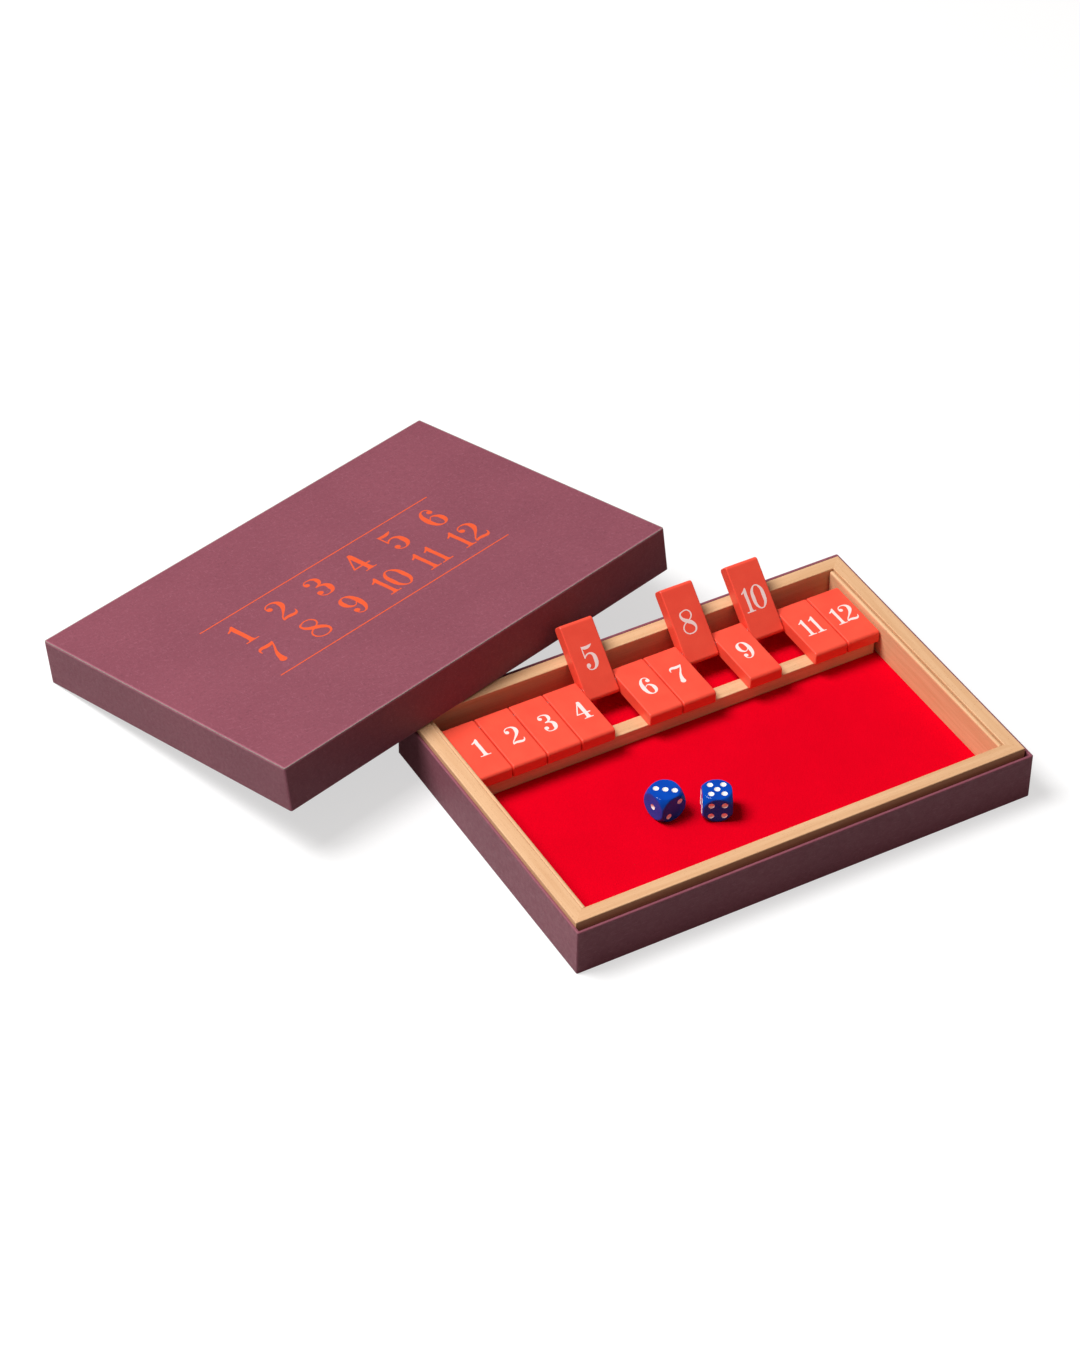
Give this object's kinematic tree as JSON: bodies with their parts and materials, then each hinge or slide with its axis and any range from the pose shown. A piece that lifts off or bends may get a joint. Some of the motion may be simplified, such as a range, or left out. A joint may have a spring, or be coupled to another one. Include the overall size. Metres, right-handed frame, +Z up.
{
  "type": "shut the box game",
  "caption": "Shut the box dice game: a paper-covered box base with a felt-lined wooden tray, hinged number tiles on a rod, dice, and a separate lid leaning on its corner.",
  "frame": {"origin": "centre of the base's underside, on the table", "axes": "+Z up; +Y from the player's side to the tile row; +X to the right along the row"},
  "size_m": [0.4808, 0.4765, 0.068],
  "materials": {
    "grey_board": "matt, raw edge",
    "plum_paper": "matt, faint fibre grain",
    "lining_paper": "matt",
    "beech": "satin clear coat over fine grain",
    "red_felt": "short even nap",
    "red_paint": "coral red paint, satin",
    "blue_plastic": "gloss, white pips",
    "steel_rod": "drawn",
    "steel_washer": "stamped"
  },
  "bodies": {
    "box_base": {"base_floor_board": "grey_board", "base_front_board": "grey_board", "base_back_board": "grey_board", "base_left_board": "grey_board", "base_right_board": "grey_board", "base_wrap": "plum_paper", "base_bottom_paper": "plum_paper", "base_lining": "lining_paper", "front_wall": "beech", "back_wall": "beech", "left_wall": "beech", "right_wall": "beech", "floor_panel": "beech", "felt": "red_felt", "left_slat": "beech", "right_slat": "beech", "rest_rail": "beech", "pivot_rod": "steel_rod", "spacer_washers": "steel_washer"},
    "lid": {"lid_top_board": "grey_board", "lid_front_board": "grey_board", "lid_back_board": "grey_board", "lid_left_board": "grey_board", "lid_right_board": "grey_board", "lid_wrap": "plum_paper", "lid_lining": "lining_paper"},
    "die_left": {"die_left": "blue_plastic"},
    "die_right": {"die_right": "blue_plastic"},
    "tile_1": {"tile_1": "red_paint"},
    "tile_2": {"tile_2": "red_paint"},
    "tile_3": {"tile_3": "red_paint"},
    "tile_4": {"tile_4": "red_paint"},
    "tile_5": {"tile_5": "red_paint"},
    "tile_6": {"tile_6": "red_paint"},
    "tile_7": {"tile_7": "red_paint"},
    "tile_8": {"tile_8": "red_paint"},
    "tile_9": {"tile_9": "red_paint"},
    "tile_10": {"tile_10": "red_paint"},
    "tile_11": {"tile_11": "red_paint"},
    "tile_12": {"tile_12": "red_paint"}
  },
  "joints": [
    {"name": "lid_lift", "type": "slide", "parent": "box_base", "child": "lid", "axis": [0, 0, 1], "range_m": [0, 0.1]},
    {"name": "die_left_lift", "type": "slide", "parent": "box_base", "child": "die_left", "axis": [0, 0, 1], "range_m": [0, 0.06]},
    {"name": "die_right_lift", "type": "slide", "parent": "box_base", "child": "die_right", "axis": [0, 0, 1], "range_m": [0, 0.06]},
    {"name": "tile_1_hinge", "type": "hinge", "parent": "box_base", "child": "tile_1", "pos_m": [-0.13295, 0.07863, 0.0258], "axis": [-1, 0, 0], "range_deg": [0, 105.5]},
    {"name": "tile_2_hinge", "type": "hinge", "parent": "box_base", "child": "tile_2", "pos_m": [-0.10885, 0.07863, 0.0258], "axis": [-1, 0, 0], "range_deg": [0, 115]},
    {"name": "tile_3_hinge", "type": "hinge", "parent": "box_base", "child": "tile_3", "pos_m": [-0.08475, 0.07863, 0.0258], "axis": [-1, 0, 0], "range_deg": [0, 125]},
    {"name": "tile_4_hinge", "type": "hinge", "parent": "box_base", "child": "tile_4", "pos_m": [-0.06065, 0.07863, 0.0258], "axis": [-1, 0, 0], "range_deg": [0, 136]},
    {"name": "tile_5_hinge", "type": "hinge", "parent": "box_base", "child": "tile_5", "pos_m": [-0.03655, 0.07863, 0.0258], "axis": [-1, 0, 0], "range_deg": [-136.9, 0]},
    {"name": "tile_6_hinge", "type": "hinge", "parent": "box_base", "child": "tile_6", "pos_m": [-0.01245, 0.07863, 0.0258], "axis": [-1, 0, 0], "range_deg": [0, 136.9]},
    {"name": "tile_7_hinge", "type": "hinge", "parent": "box_base", "child": "tile_7", "pos_m": [0.01165, 0.07863, 0.0258], "axis": [-1, 0, 0], "range_deg": [0, 136.9]},
    {"name": "tile_8_hinge", "type": "hinge", "parent": "box_base", "child": "tile_8", "pos_m": [0.03575, 0.07863, 0.0258], "axis": [-1, 0, 0], "range_deg": [-136.9, 0]},
    {"name": "tile_9_hinge", "type": "hinge", "parent": "box_base", "child": "tile_9", "pos_m": [0.05985, 0.07863, 0.0258], "axis": [-1, 0, 0], "range_deg": [0, 136.9]},
    {"name": "tile_10_hinge", "type": "hinge", "parent": "box_base", "child": "tile_10", "pos_m": [0.08395, 0.07863, 0.0258], "axis": [-1, 0, 0], "range_deg": [-136.9, 0]},
    {"name": "tile_11_hinge", "type": "hinge", "parent": "box_base", "child": "tile_11", "pos_m": [0.10805, 0.07863, 0.0258], "axis": [-1, 0, 0], "range_deg": [0, 136.9]},
    {"name": "tile_12_hinge", "type": "hinge", "parent": "box_base", "child": "tile_12", "pos_m": [0.13215, 0.07863, 0.0258], "axis": [-1, 0, 0], "range_deg": [0, 136.9]}
  ]
}
